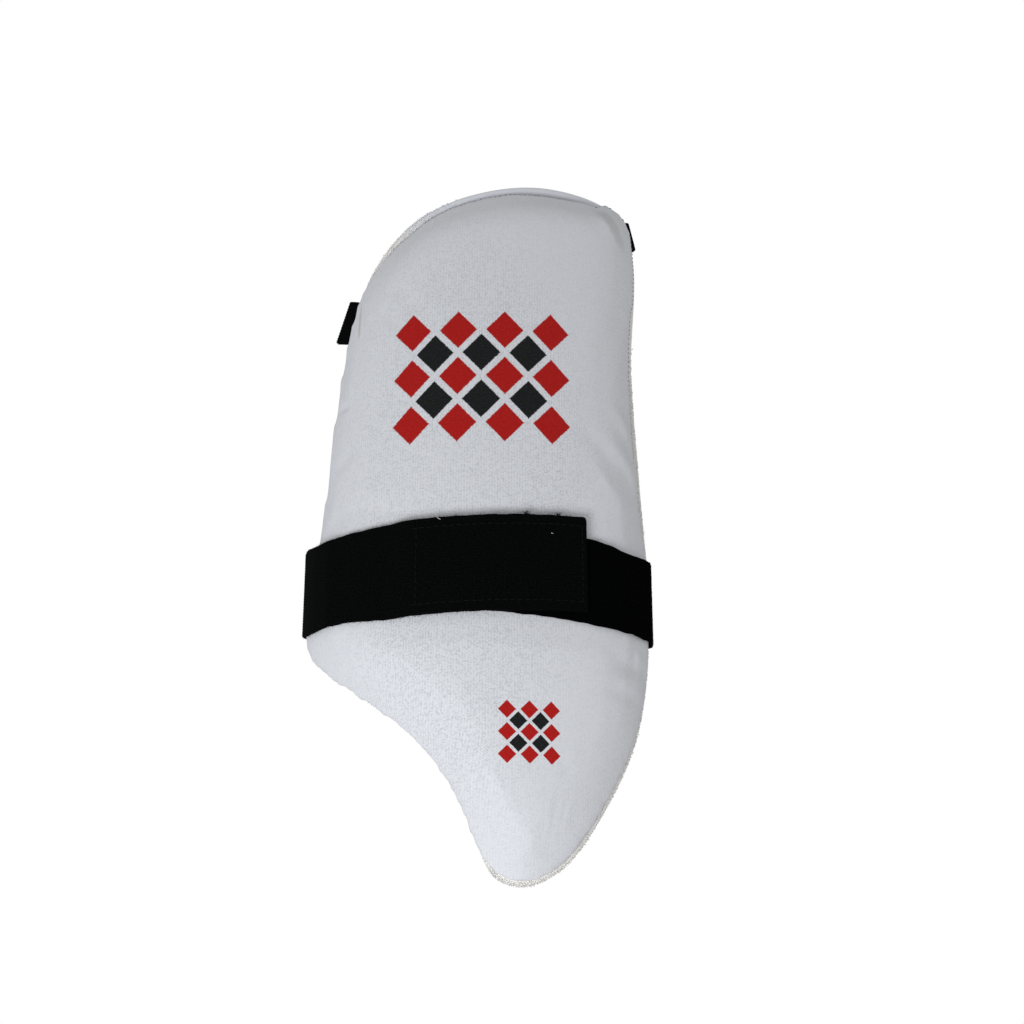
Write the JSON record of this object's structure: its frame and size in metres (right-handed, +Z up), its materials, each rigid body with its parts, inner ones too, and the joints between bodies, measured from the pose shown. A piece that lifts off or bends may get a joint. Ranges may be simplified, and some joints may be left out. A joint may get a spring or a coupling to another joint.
{
  "type": "cricket thigh guard",
  "caption": "Curved padded thigh guard for cricket with a towelling back and rolled rim, a wide elastic leg strap closed on loop tape and a narrow elastic waist strap.",
  "frame": {"origin": "bottom centre of the whole object's box, on the surface that it lies on", "axes": "+Y from the knee end to the hip end, +X to the right as seen from the front, +Z up out of the padded face"},
  "size_m": [0.183, 0.3882, 0.0643],
  "materials": {
    "front_cloth": "plain woven white cotton over foam",
    "towelling": "looped cream towelling",
    "elastic": "ribbed black woven elastic",
    "loop_pile": "napped black loop tape",
    "hook_tape": "stiff black hook tape"
  },
  "bodies": {
    "root": {"padded_front": "front_cloth", "towelling_back": "towelling", "leg_strap": "elastic", "loop_tape": "loop_pile", "hook_patch": "hook_tape", "waist_tab": "elastic", "waist_strap": "elastic"}
  },
  "joints": []
}
